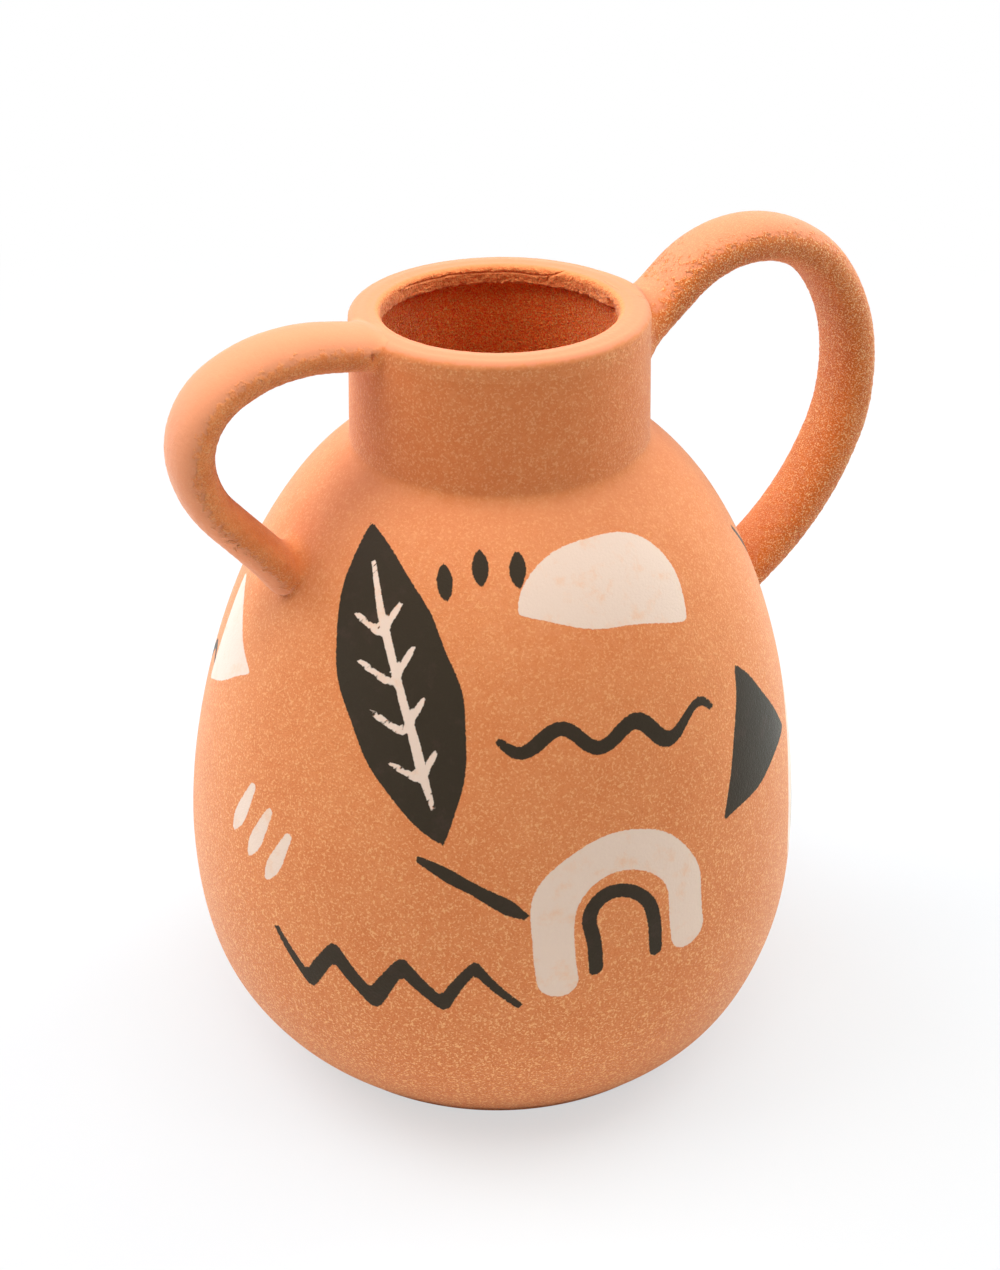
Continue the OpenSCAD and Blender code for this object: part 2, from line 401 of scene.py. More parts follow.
def makeWornEdge():
    radius = wear["radius"]
    given = newShape("wornEdge", {
        "Amount": 1.0, "Ragged": wear["ragged"], "Ragged Size": wear["raggedSize"],
        "Score Depth": wear["score"], "Score Width": wear["scoreWidth"], "Chip": wear["chip"], "Seed": 11.0})
    place = wire("GeometryNodeInputPosition")
    x, y, z = parts(place)
    inner = ease(vectors("LENGTH", level(place)), radius, radius - wear["fade"])
    drop = lipZ - z
    about = maths("ARCTAN2", y, x)
    # distance to the scored lines, on the wall rolled out flat
    spot = combined(about * radius, drop, 0)
    nearest = 1.0
    for line in (wear["line"], wear["fork"]):
        points = [np.array([math.radians(turn) * radius, down * mm, 0]) for turn, down in line]
        for start, end in zip(points, points[1:]):
            step = end - start
            gap = spot - tuple(start)
            share = vectors("DOT_PRODUCT", gap, tuple(step)) / float(step @ step)
            share = wire("ShaderNodeClamp", {"Value": share})
            nearest = maths("MINIMUM", nearest, vectors("LENGTH", gap - tuple(step) * share))
    score = ease(nearest / given["Score Width"], 0.2, 1.8, 1.0, 0.0) * given["Score Depth"]
    rag = (noise(place / given["Ragged Size"], 1.0, 3.0, 0.65, given["Seed"]) - 0.5) * given["Ragged"]
    rag = rag * ease(drop, *wear["raggedFrom"])
    fromChip = maths("ABSOLUTE", about - math.radians(wear["chipAt"]))
    chip = ease(fromChip, *wear["chipHalf"], 1.0, 0.0) * ease(drop, *wear["chipFrom"])
    lift = rag * ease(drop, *wear["liftFrom"], 0.0, wear["lift"])
    outward = vectors("NORMALIZE", level(place)) * (score + rag + chip * given["Chip"])
    offset = (outward + combined(0, 0, lift)) * (inner * given["Amount"])
    return putOut(Geometry=shifted(given["Geometry"], offset))


wornEdge = makeWornEdge()


def gridSpots(rows, columns):
    # a grid with the row of each of its points, and how far round or along the point's column is
    grid = wire("GeometryNodeMeshGrid", {"Vertices X": columns + 1, "Vertices Y": rows})
    index = wire("GeometryNodeInputIndex")
    column = maths("FLOOR", (index + 0.5) / rows)
    return grid, index - column * rows, column / columns


def welded(geometry, distance):
    return wire("GeometryNodeMergeByDistance", {"Geometry": geometry, "Distance": distance})


# a piece turned round the pot's axis from its outline

def makeTurnedTree():
    given = newShape("turnedClay", {
        "Round Steps": 420, "Weld": 0.005 * mm, "Sharp Angle": 0.6, "Edge Wear": 0.0, "Grit Outside": 0.0,
        "Grit Inside": 1.0, "Grit Height": 0.0, "Grit Size": 1.1 * mm, "Clay": "Material"}, "Outline")
    rows = wire("GeometryNodeAttributeDomainSize", {"Geometry": given["Outline"]}, component="MESH")
    grid, row, share = gridSpots(rows, given["Round Steps"])
    place = wire("GeometryNodeInputPosition")
    point = wire("GeometryNodeSampleIndex", {"Geometry": given["Outline"], "Value": place, "Index": row},
                 data_type="FLOAT_VECTOR", domain="POINT")
    out, _, height = parts(point)
    turn = share * fullTurn
    spot = combined(out * maths("COSINE", turn), out * maths("SINE", turn), height)
    placed = wire("GeometryNodeSetPosition", {"Geometry": grid, "Position": spot})
    worn = wire("GeometryNodeGroup", {
        "Geometry": welded(placed, given["Weld"]), "Amount": given["Edge Wear"]}, node_tree=wornEdge)
    # more grit on what faces the middle
    facing = vectors("DOT_PRODUCT", wire("GeometryNodeInputNormal"), vectors("NORMALIZE", level(place)))
    return finishTree(worn, given, ease(facing, 0.1, -0.5, given["Grit Outside"], given["Grit Inside"]))


# a handle pulled along its path, oval in section, with a rounded end in the wall at each root

def makeHandleTree():
    given = newShape("pulledHandle", {
        "Side": 1.0, "Width": 21 * mm, "Start Thickness": 12 * mm, "End Thickness": 12 * mm,
        "Root Rounding": 6 * mm, "Squareness": 2.25, "Steps Along": 300, "Steps Round": 88,
        "Crowding": 0.008, "Weld": 0.005 * mm, "Sharp Angle": 1.2, "Grit Height": 0.32 * mm,
        "Grit Size": 1.5 * mm, "Clay": "Material"}, "Path")
    path = wire("GeometryNodeMeshToCurve", {"Mesh": given["Path"]})
    length = wire("GeometryNodeCurveLength", {"Curve": path})
    grid, row, even = gridSpots(given["Steps Round"] + 1, given["Steps Along"])
    # rings crowd together at the two rounded ends
    factor = even - maths("SINE", even * fullTurn) * given["Crowding"]
    sample = add("GeometryNodeSampleCurve", {"Curves": path, "Factor": factor}, mode="FACTOR").outputs
    across = (0.0, 1.0, 0.0)
    outward = vectors("NORMALIZE", vectors("CROSS_PRODUCT", sample["Tangent"], across))
    along = factor * length
    nearest = maths("MINIMUM", along, length - along) / given["Root Rounding"]
    missing = 1.0 - maths("MINIMUM", nearest, 1.0)
    swell = maths("SQRT", maths("MAXIMUM", 1.0 - missing * missing, 0.0))
    thickness = (given["End Thickness"] - given["Start Thickness"]) * factor + given["Start Thickness"]
    angle = row / given["Steps Round"] * fullTurn
    power = 2.0 / given["Squareness"]

    def flattened(wave, size):
        # the oval's corners filled out
        full = maths("SIGN", wave) * maths("POWER", maths("ABSOLUTE", wave), power)
        return full * (size * 0.5) * swell

    cosine = maths("COSINE", angle)
    ring = outward * flattened(cosine, thickness) + across * flattened(maths("SINE", angle), given["Width"])
    placed = wire("GeometryNodeSetPosition", {"Geometry": grid, "Position": ring + sample["Position"]})
    marked = wire("GeometryNodeStoreNamedAttribute", {
        "Geometry": placed, "Name": "outerFace", "Value": cosine * given["Side"]}, data_type="FLOAT")
    return finishTree(welded(marked, given["Weld"]), given, 1.0)


# clay worked round a root: made as a mesh below, this gives it the skin of its neighbours

def makeRootTree():
    given = newShape("workedRoot", {
        "Sharp Angle": 1.2, "Grit Height": 0.32 * mm, "Grit Size": 1.5 * mm, "Clay": "Material"}, "Shell")
    amount = wire("GeometryNodeInputNamedAttribute", {"Name": "handleShare"}, data_type="FLOAT")
    return finishTree(given["Shell"], given, amount)


turnedClay = makeTurnedTree()
pulledHandle = makeHandleTree()
workedRoot = makeRootTree()


def placeObject(name, data):
    made = bpy.data.objects.new(name, data)
    bpy.context.scene.collection.objects.link(made)
    return made


def meshObject(name, points, edges=(), faces=()):
    mesh = bpy.data.meshes.new(name)
    mesh.from_pydata([tuple(map(float, point)) for point in points], list(edges), list(faces))
    mesh.update()
    return placeObject(name, mesh)


def lineObject(name, out, height):
    points = np.stack([out, 0 * out, height], 1)
    return meshObject(name, points, edges=[(i, i + 1) for i in range(len(points) - 1)])


def throughTree(name, source, tree, values):
    # the tree's result as a plain mesh, and the source is cleared away
    modifier = source.modifiers.new("shape", "NODES")
    modifier.node_group = tree
    for item in tree.interface.items_tree:
        if item.in_out == "INPUT" and item.name in values:
            modifier[item.identifier] = values[item.name]
    source.update_tag()
    graph = bpy.context.evaluated_depsgraph_get()
    mesh = bpy.data.meshes.new_from_object(source.evaluated_get(graph), depsgraph=graph)
    mesh.name = name
    source.modifiers.remove(modifier)
    bpy.data.objects.remove(source)
    return placeObject(name, mesh)


def turned(name, clay, *stretches, **values):
    line = loop(*stretches)
    source = lineObject(name + "Outline", line[:, 0], line[:, 1])
    return throughTree(name, source, turnedClay, {"Clay": clay, **values})


def seat(piece, node):
    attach(piece, "root")
    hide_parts(node)
    print(f"{node}: {len(piece.data.polygons)} faces")


# finishes

clayBump = 0.20 * mm
claySurface = {
    "Roughness": 0.85,
    "Specular IOR Level": 0.30,
    "Sheen Weight": 0.27,
    "Sheen Roughness": 0.30,
    "Sheen Tint": (0.92, 0.92, 0.84, 1),
}
grains = {                      # (scale, detail, roughness), the first four in sizes of a grain
    "sand": (1.3, 3.0, 0.7),
    "specks": (1.0, 1.5, 0.6),
    "rawSpecks": (1.6, 1.0, 0.5),
    "lumps": (0.28, 2.0, 0.6),
    "clouds": (26.0, 3.0, 0.55),
    "blotches": (170.0, 2.0, 0.5),
}
clayLook = {
    "Base": (0.775, 0.264, 0.089, 1),
    "Deep": (0.660, 0.170, 0.042, 1),
    "Pale": (0.840, 0.345, 0.130, 1),
    "Fleck": (0.970, 0.560, 0.250, 1),
    # painted shade: deeper, redder copies of the clay, its pits and its flecks for faces that look into the
    # pot, where the mouth's inside lies in shade
    "Inside": (1.0, 0.190, 0.017, 1),
    "Inner Shade Deep": (0.950, 0.080, 0.004, 1),
    "Inner Shade Fleck": (1.0, 0.410, 0.095, 1),
    # painted highlight: a paler copy of the clay for faces that look up, where the light falls
    "Painted Highlight": (0.800, 0.300, 0.146, 1),
    # painted shade: a darker copy of the clay for the upright neck, which the overhead light reaches less
    "Collar": (0.724, 0.218, 0.066, 1),
    "Grain Size": 0.74 * mm,
    "Flecks": 0.5,
    "Pits": 0.4,
    "Blotches": 0.15,
    "Lumps": 0.9,
    "Rawness And Shade": 1.0,
    "Inward Grit": 3.9,
    "Top Grit": 0.6,
    "Collar Share": 0.0,
    "Wear And Highlight Strength": 0.6,
    "Wear And Highlight From": -1.0,        # from this height upwards the wear and the painted highlight are strongest
    "Ragged": 0.6,              # edge of what is worn smooth and painted with the highlight
    "Follow Face": 0.0,         # 1 where the wear and the painted highlight follow the handle's outer face, lit from the left, not what faces up
}


def blend(share, first, second):
    return wire("ShaderNodeMix", {"Factor": share, 6: first, 7: second}, 2, data_type="RGBA")


def makeClayGrain():
    inputs = {"Vector": "Vector", "Normal": "Vector", "Outer Face": 0.0, **clayLook}
    given = newGroup("clayGrain", "ShaderNodeTree", inputs, {"Color": "Color", "Height": "Float"})
    place, normal = given["Vector"], given["Normal"]
    fine = place / given["Grain Size"]
    sand = noise(fine, *grains["sand"])
    specks = noise(fine + (17, 5, 9), *grains["specks"])
    rawSpecks = noise(fine + (3, 21, 8), *grains["rawSpecks"])
    lumps = noise(fine, *grains["lumps"])
    clouds = noise(place, *grains["clouds"])
    blotches = noise(place, *grains["blotches"])
    # faces that look at the pot's axis get more grit and a deeper, redder painted shade; faces that look up
    # are worn smoother and painted paler as a highlight, and so is the outer face of the small handle
    inward = ease(vectors("DOT_PRODUCT", normal, vectors("NORMALIZE", level(place))), 0.0, -0.65)
    # inward faces get more grit, and the painted shade of the mouth's inside
    rawAndShaded = inward * given["Rawness And Shade"]
    up, high = parts(normal)[2], parts(place)[2]
    reach = (given["Outer Face"] + 0.35 - up) * given["Follow Face"] + up
    above = ease(high - given["Wear And Highlight From"], 0.0, 30 * mm, 0.45, 1.0)
    # where the grain is worn smooth, and where the paler tone is painted on as a highlight
    rubbed = ease((lumps - 0.5) * given["Ragged"] + reach, 0.40, 0.80) * (above * given["Wear And Highlight Strength"])
    # grit shows most where it faces down and inside, least where it faces up
    bare = ease(up, -0.5, 0.6, 1.8, given["Top Grit"])
    bare = rawAndShaded * (given["Inward Grit"] - bare) + bare
    # the collar is painted darker than the shoulder, as shade on its upright face, and the fillet goes from
    # one to the other
    collar = ease(high, shoulderZ, shoulderZ + 7 * mm) * given["Collar Share"]
    colour = blend(collar, given["Base"], given["Collar"])
    colour = blend(ease(clouds, 0.32, 0.72, 0, 0.30), colour, given["Deep"])
    colour = blend(ease(lumps, 0.45, 0.72, 0, 0.28), colour, given["Pale"])
    colour = blend(ease(blotches, 0.44, 0.62) * given["Blotches"], colour, given["Deep"])
    # painted highlight: the paler tone on the faces that the light falls on
    colour = blend(rubbed, colour, given["Painted Highlight"])
    # painted shade: the deeper, redder tone inside the mouth
    colour = blend(rawAndShaded, colour, given["Inside"])
    calm = (rubbed * -0.85 + 1.0) * bare
    pits = ease(sand, 0.54, 0.38) * given["Pits"]
    # pits and flecks on inward faces take their painted-shade copies
    colour = blend(pits * calm, colour, blend(rawAndShaded, given["Deep"], given["Inner Shade Deep"]))
    bright = ease(specks, 0.54, 0.63)
    flecks = (rawAndShaded * (ease(rawSpecks, 0.53, 0.61) - bright) + bright) * given["Flecks"]
    colour = blend(flecks * calm, colour, blend(rawAndShaded, given["Fleck"], given["Inner Shade Fleck"]))
    height = lumps * given["Lumps"] + (specks + sand * 0.8)
    return putOut(Color=colour, Height=height * calm)


clayGrain = makeClayGrain()


def openNodes(owner):
    owner.use_nodes = True
    bench["tree"] = owner.node_tree
    owner.node_tree.nodes.clear()


def attribute(name):
    return wire("ShaderNodeAttribute", {}, "Fac", attribute_name=name)


def newClay(name):
    material = bpy.data.materials.new(name)
    openNodes(material)
    shader = add("ShaderNodeBsdfPrincipled", claySurface)
    add("ShaderNodeOutputMaterial", {"Surface": shader.outputs["BSDF"]})
    return material, shader.inputs


def clayColours(look):
    place = wire("ShaderNodeTexCoord", {}, "Object")
    normal = wire("ShaderNodeNewGeometry", {}, "Normal")
    face = {"Outer Face": attribute("outerFace")} if "Follow Face" in look else {}
    grain = add("ShaderNodeGroup", {"Vector": place, "Normal": normal, **face, **look}, node_tree=clayGrain)
    return place, Wire(grain.outputs["Color"]), Wire(grain.outputs["Height"])


def coat(surface, colour, height, bump):
    relief = wire("ShaderNodeBump", {"Height": height, "Distance": bump, "Strength": 1.0})
    feed(surface["Base Color"], colour)
    feed(surface["Normal"], relief)


def makeClay(name, bump, look):
    material, surface = newClay(name)
    _, colour, height = clayColours(look)
    coat(surface, colour, height, bump)
    return material


slip = {
    "charcoal": (0.0258, 0.0205, 0.0104, 1),
    "charcoalWorn": (0.043, 0.0274, 0.018, 1),
    "charcoalCover": 0.985,
    "cream": (0.840, 0.665, 0.540, 1),
    "creamWorn": (0.850, 0.560, 0.380, 1),
    "creamCover": 0.93,
    "edgeGrain": 0.68 * mm,
    "edgeSize": 0.9 * mm,
    "edgeBlur": 0.14 * mm,
    "wear": (140.0, 4.0, 0.7),  # (scale, detail, roughness) of the worn patches
    "wornFrom": (0.50, 0.78),
    "thickness": 0.5,           # share of the clay's bump
    "fills": 0.45,              # how far it fills the grain
}


def makeBrushedSlip():
    given = newGroup("brushedSlip", "ShaderNodeTree", {
        "Vector": "Vector", "Under": (1.0, 1.0, 1.0, 1.0), "Edge Distance": 1.0, "Slip": slip["cream"],
        "Worn": slip["creamWorn"], "Cover": 0.95, "Edge Grain": slip["edgeGrain"],
        "Edge Size": slip["edgeSize"]}, {"Color": "Color", "Mask": "Float"})
    grain = noise(given["Vector"] / given["Edge Size"], 1.0, 2.0, 0.6)
    edge = (grain - 0.5) * given["Edge Grain"] + given["Edge Distance"]
    mask = ease(edge, -slip["edgeBlur"], slip["edgeBlur"], 1.0, 0.0)
    worn = ease(noise(given["Vector"], *slip["wear"]), *slip["wornFrom"])
    paint = blend(worn, given["Slip"], given["Worn"])
    return putOut(Color=blend(mask * given["Cover"], given["Under"], paint), Mask=mask)


brushedSlip = makeBrushedSlip()

# the pieces' looks, where they differ from the plain clay
looks = {
    "body": {"Flecks": 0.46, "Pits": 0.52, "Wear And Highlight Strength": 0.3},
    "neck": {"Flecks": 0.25, "Pits": 0.35, "Wear And Highlight Strength": 0.3, "Collar Share": 1.0},
    "lip": {
        "Flecks": 0.30, "Pits": 0.45, "Wear And Highlight Strength": 0.9, "Top Grit": 0.35,
        # the lip's inner face takes a lighter painted shade, and its top the painted highlight
        "Rawness And Shade": 0.7, "Inward Grit": 2.3, "Inside": (1.0, 0.320, 0.092, 1),
        "Painted Highlight": (0.800, 0.277, 0.138, 1)},
    # the roots on the neck take the collar's painted shade
    "neckByRoot": {
        "Flecks": 0.30, "Pits": 0.40, "Wear And Highlight Strength": 0.9, "Top Grit": 0.35,
        "Base": clayLook["Collar"]},
    "smallHandle": {
        "Flecks": 0.30, "Pits": 0.66, "Wear And Highlight Strength": 0.95, "Top Grit": 0.7,
        "Blotches": 0.45, "Ragged": 1.3, "Follow Face": 1.0, "Base": (0.930, 0.325, 0.102, 1),
        "Deep": (0.740, 0.190, 0.045, 1), "Painted Highlight": (0.775, 0.292, 0.142, 1)},
    # painted shade: the large handle's base and deep tones are a deeper, redder copy of the clay, for a
    # handle that lies mostly in shade
    "largeHandle": {
        "Flecks": 0.95, "Pits": 1.0, "Wear And Highlight Strength": 0.90, "Top Grit": 0.95,
        "Blotches": 0.35, "Ragged": 1.3, "Wear And Highlight From": 185 * mm, "Base": (0.857, 0.236, 0.041, 1),
        "Deep": (0.680, 0.132, 0.018, 1), "Fleck": (1.0, 0.590, 0.270, 1),
        "Painted Highlight": (0.805, 0.286, 0.142, 1)},
}


def makePaintedClay():
    material, surface = newClay("paintedClay")
    place, colour, height = clayColours(looks["body"])
    masks = []
    for ink in ("charcoal", "cream"):
        painted = add("ShaderNodeGroup", {
            "Vector": place, "Under": colour, "Edge Distance": attribute(ink + "Edge"), "Slip": slip[ink],
            "Worn": slip[ink + "Worn"], "Cover": slip[ink + "Cover"]}, node_tree=brushedSlip)
        colour = Wire(painted.outputs["Color"])
        masks.append(painted.outputs["Mask"])
    covered = maths("MAXIMUM", *masks)
    filled = height * (covered * -slip["fills"] + 1.0)
    coat(surface, colour, covered * slip["thickness"] + filled, clayBump)
    return material


def makeRootClay(name, bump, grain, pot, handle):
    # the pot's look where the clay runs out on the pot, the handle's where it runs out on the handle
    material, surface = newClay(name)
    share = attribute("handleShare")
    look = {"Grain Size": grain, "Rawness And Shade": 0.0}
    for label in {**looks[pot], **looks[handle]}:
        here, there = (looks[piece].get(label, clayLook[label]) for piece in (pot, handle))
        mixed = isinstance(there, tuple)
        look[label] = blend(share, here, there) if mixed else share * (there - here) + here
    _, colour, height = clayColours(look)
    coat(surface, colour, height, bump)
    return material


bodyClay = makePaintedClay()
neckClay = makeClay("neckClay", clayBump, looks["neck"])
lipClay = makeClay("lipClay", clayBump, looks["lip"])
smallHandleClay = makeClay("smallHandleClay", 0.34 * mm, {
    "Grain Size": 0.56 * mm, "Rawness And Shade": 0.0, "Lumps": 1.7, **looks["smallHandle"]})
largeHandleClay = makeClay("largeHandleClay", 0.40 * mm, {
    "Grain Size": 0.46 * mm, "Rawness And Shade": 0.0, "Lumps": 1.4, **looks["largeHandle"]})
rootClays = {
    "smallUpper": makeRootClay("smallUpperClay", 0.26 * mm, 0.62 * mm, "neckByRoot", "smallHandle"),
    "smallLower": makeRootClay("smallLowerClay", 0.26 * mm, 0.62 * mm, "body", "smallHandle"),
    "largeUpper": makeRootClay("largeUpperClay", 0.28 * mm, 0.58 * mm, "neckByRoot", "largeHandle"),
    "largeLower": makeRootClay("largeLowerClay", 0.28 * mm, 0.58 * mm, "body", "largeHandle"),
}
print("finishes: made")


# base slab: a flat foot with a shallow dish under it

baseSlab = {
    "bevel": 1.2 * mm,
    "dish": 0.5 * mm,
    "dishR": 56 * mm,
    "dishEdge": 3 * mm,
    "step": 1.6 * mm,
}


def makeBaseSlab():
    bevel, dish, dishR, step = (baseSlab[name] for name in ("bevel", "dish", "dishR", "step"))
    toe = eggR(bevel)
    dishFoot = (dishR + baseSlab["dishEdge"], 0)
    return turned(
        "baseSlab", neckClay,
        ([(0, dish), (dishR, dish)], 5 * mm),
        ([(dishR, dish), dishFoot], step),
        ([dishFoot, (toe - bevel, 0)], step),
        (arc(toe - bevel, bevel, bevel, -90, 0), 0.3 * mm),
        (curve(eggR, bevel, slabTopZ), step),
        ([(eggR(slabTopZ), slabTopZ), (0, slabTopZ)], 6 * mm))


# base coil: clay pressed into the corner inside

baseCoil = {
    "leg": 9 * mm,
    "hollow": 0.35,             # how far the fillet is drawn into the corner
    "step": 1.5 * mm,
    "filletStep": 1 * mm,
}


def makeBaseCoil():
    step, topZ = baseCoil["step"], slabTopZ + baseCoil["leg"]
    corner = np.array([innerEggR(slabTopZ), slabTopZ])
    low = np.array([corner[0] - baseCoil["leg"], slabTopZ])
    high = np.array([innerEggR(topZ), topZ])
    t = np.linspace(0, 1, 40)[:, None]
    middle = (low + high) / 2
    pull = middle + (corner - middle) * 2 * baseCoil["hollow"]
    fillet = (1 - t) ** 2 * high + 2 * t * (1 - t) * pull + t ** 2 * low
    return turned(
        "baseCoil", neckClay, ([low, corner], step), (curve(innerEggR, slabTopZ, topZ), step),
        (fillet, baseCoil["filletStep"]))


# body wall

bodyWall = {
    "outStep": 1.5 * mm,
    "inStep": 4.5 * mm,
    "endStep": 3 * mm,
}


def makeBodyWall():
    step = bodyWall["endStep"]
    return turned(
        "bodyWall", bodyClay,
        (curve(eggR, slabTopZ, shoulderZ), bodyWall["outStep"]),
        ([(eggR(shoulderZ), shoulderZ), (cavityR(shoulderZ), shoulderZ)], step),
        (curve(cavityR, shoulderZ, slabTopZ), bodyWall["inStep"]),
        ([(cavityR(slabTopZ), slabTopZ), (eggR(slabTopZ), slabTopZ)], step))


# neck: the collar, and the fillet that joins it to the shoulder

neck = {
    "step": 0.7 * mm,
    "filletStep": 0.4 * mm,
    "endStep": 2 * mm,
    "filletReach": 12 * mm,     # it lies within this height of the shoulder
    "filletEdgeStep": 0.3 * mm,
    "filletBackStep": 1 * mm,
    "under": 0.5 * mm,          # how far the fillet's clay is worked into the shoulder
    "grit": 0.2 * mm,
}


def makeNeckFillet():
    z = np.linspace(shoulderZ - neck["filletReach"], shoulderZ + neck["filletReach"], 2400)
    touched = z[np.abs(eggR(z) - collarR(z)) < outline["neckBlend"]]
    low, high = touched[0], touched[-1]
    sink, edgeStep, backStep = neck["under"], neck["filletEdgeStep"], neck["filletBackStep"]
    outer = curve(skinR, low, high)
    corner = (neckR - sink, shoulderZ)
    lowEnd, highEnd = (eggR(low) - sink, low - sink / 2), (collarR(high) - sink, high)
    return turned(
        "neckFillet", neckClay,
        (outer, neck["filletStep"]),
        ([outer[-1], highEnd], edgeStep),
        ([highEnd, corner], backStep),
        ([corner, lowEnd], backStep),
        ([lowEnd, outer[0]], edgeStep))


def makeNeckCollar():
    corners = [(neckR, shoulderZ), (lipR, lipBaseZ), (boreR, lipBaseZ), (cavityR(shoulderZ), shoulderZ)]
    steps = (neck["step"], neck["endStep"]) * 2
    return turned(
        "neckCollar", neckClay, *zip(zip(corners, corners[1:] + corners[:1]), steps),
        **{"Grit Height": neck["grit"], "Grit Outside": 0.15})


# lip: a flat roll that hangs over the bore

lip = {
    "width": 9 * mm,
    "outerRound": 2.4 * mm,
    "innerRound": 2.0 * mm,
    "underRound": 0.7 * mm,
    "crown": 0.25 * mm,         # the flat is a little higher in its middle
    "step": 0.45 * mm,
    "fineStep": 0.2 * mm,
    "overWall": 0.3 * mm,       # how far the fine steps under it go on over the neck's wall
    "seatStep": 1 * mm,
    "roundSteps": 640,
    "grit": 0.22 * mm,
}


def makeLip():
    outerRound, innerRound, underRound = lip["outerRound"], lip["innerRound"], lip["underRound"]
    step, fine = lip["step"], lip["fineStep"]
    innerR = lipR - lip["width"]
    top = lipZ - lip["crown"]
    outer = arc(lipR - outerRound, top - outerRound, outerRound, 0, 90)
    inner = arc(innerR + innerRound, top - innerRound, innerRound, 90, 180)
    flatR = np.linspace(outer[-1, 0], inner[0, 0], 30)
    share = (flatR - flatR[-1]) / (flatR[0] - flatR[-1])
    flat = np.stack([flatR, top + lip["crown"] * np.sin(math.pi * share) ** 2], 1)
    under = arc(innerR + underRound, lipBaseZ + underRound, underRound, 180, 270)
    foot = (boreR + lip["overWall"], lipBaseZ)
    return turned(
        "lip", lipClay,
        ([(lipR, lipBaseZ), outer[0]], step),
        (outer, step),
        (flat, step),
        (inner, fine),
        ([inner[-1], under[0]], fine),
        (under, fine),
        ([under[-1], foot], fine),
        ([foot, (lipR, lipBaseZ)], lip["seatStep"]),
        **{"Round Steps": lip["roundSteps"], "Edge Wear": 1.0, "Grit Height": lip["grit"],
           "Grit Size": 1.3 * mm, "Grit Outside": 0.7})


# handles: rise is in degrees from level, bends are (radius, degrees)

smallHandle = {
    "side": -1,
    "rootDrop": 4.5 * mm,
    "rise": 10,
    "lead": 12 * mm,
    "bends": [(40 * mm, 41.5), (22 * mm, 67.5), (35 * mm, 30)],
    "startThickness": 12 * mm,
    "endThickness": 12 * mm,
    "stepsAlong": 340,
    "grit": 0.14 * mm,
    "clay": smallHandleClay,
}
largeHandle = {
    "side": 1,
    "rootDrop": 15.5 * mm,
    "rise": 41,
    "lead": 21 * mm,
    "bends": [(36 * mm, 94), (57 * mm, 53), (86 * mm, 34)],
    "startThickness": 12.6 * mm,
    "endThickness": 14.6 * mm,
    "stepsAlong": 520,
    "grit": 0.18 * mm,
    "clay": largeHandleClay,
}
handles = {
    "width": 21 * mm,
    "squareness": 2.25,         # 2 is an oval section
    "rounding": 6 * mm,         # length of the rounded end in the wall
    "rootDepth": 4.5 * mm,      # how deep that end goes
    "step": 1 * mm,
    "stepsRound": 92,
}


def handlePath(size):
    # [out, height, heading] down the middle of the handle, from its tip in the neck to its tip in the body
    z = lipZ - size["rootDrop"]
    x = collarR(z)
    way = math.radians(size["rise"])
    step, rounding = handles["step"], handles["rounding"]
    x -= rounding * math.cos(way)
    z -= rounding * math.sin(way)
    points = [(x, z, way)]

    def walk(length):
        nonlocal x, z
        count = max(1, round(length / step))
        for _ in range(count):
            x += length / count * math.cos(way)
            z += length / count * math.sin(way)
            points.append((x, z, way))

    walk(rounding + size["lead"])
    for radius, turn in size["bends"]:
        count = math.ceil(radius * math.radians(turn) / step)
        for _ in range(count):
            new = way - math.radians(turn) / count
            x += radius * (math.sin(way) - math.sin(new))
            z += radius * (math.cos(new) - math.cos(way))
            way = new
            points.append((x, z, way))
    while x > eggR(z):
        walk(step / 4)
    entry = len(points) - 1
    walk(handles["rootDepth"])
    return np.array(points), entry


def makeHandle(name, size):
    path, _ = handlePath(size)
    source = lineObject(name + "Path", size["side"] * path[:, 0], path[:, 1])
    return throughTree(name, source, pulledHandle, {
        "Side": float(size["side"]), "Width": handles["width"], "Squareness": handles["squareness"],
        "Start Thickness": size["startThickness"], "End Thickness": size["endThickness"],
        "Root Rounding": handles["rounding"], "Steps Along": size["stepsAlong"],
        "Steps Round": handles["stepsRound"], "Grit Height": size["grit"], "Clay": size["clay"]})


# clay worked round the roots: a soft blend between handle and pot
# blend is its softness above, beside and below the handle, overlap how far past that it runs out
# under the skins of both

roots = {
    "smallUpper": {"blend": (1.8 * mm, 2.0 * mm, 1.3 * mm), "overlap": 0.25},
    "smallLower": {"blend": (6 * mm, 0.9 * mm, 1.6 * mm), "overlap": 0.25},
    "largeUpper": {"blend": (9 * mm, 9 * mm, 5 * mm), "overlap": 0.12},
    "largeLower": {"blend": (5 * mm, 4 * mm, 5 * mm), "overlap": 0.25},
    "stepsRound": 132,
    "stepsAlong": 36,
    "depth": 1.2 * mm,
    "endDepth": 0.15,           # share of the depth that is left at both ends
    "lookFade": 0.8,            # share of the way from the pot to the handle over which the look changes
    "firstTry": 1.2,            # how far along the first ring is tried, in its softness
    "tuck": 0.05 * mm,          # how far its ends lie under the skins
    "tries": 40,
    "farthest": (0.08, 0.6 * mm),       # the most that one try may widen the ring and move it along
    "nudge": (0.002, 0.02 * mm),        # the steps that its slopes are measured with
    "mayMiss": 0.05 * mm,
}


def potDistance(points):
    # distance out of the pot's skin
    out = np.hypot(points[..., 0], points[..., 1])
    z = points[..., 2]
    low = np.minimum(z, lipBaseZ)
    small = 0.2 * mm
    slope = (skinR(low + small) - skinR(low - small)) / (2 * small)
    side = (out - skinR(low)) / np.sqrt(1 + slope ** 2)
    corner = lip["outerRound"]
    over = z - (lipZ - lip["crown"] / 2 - corner)
    past = out - (lipR - corner)
    rounded = np.hypot(np.maximum(past, 0), np.maximum(over, 0)) + np.minimum(np.maximum(past, over), 0)
    return np.where(z > lipBaseZ, rounded - corner, side)


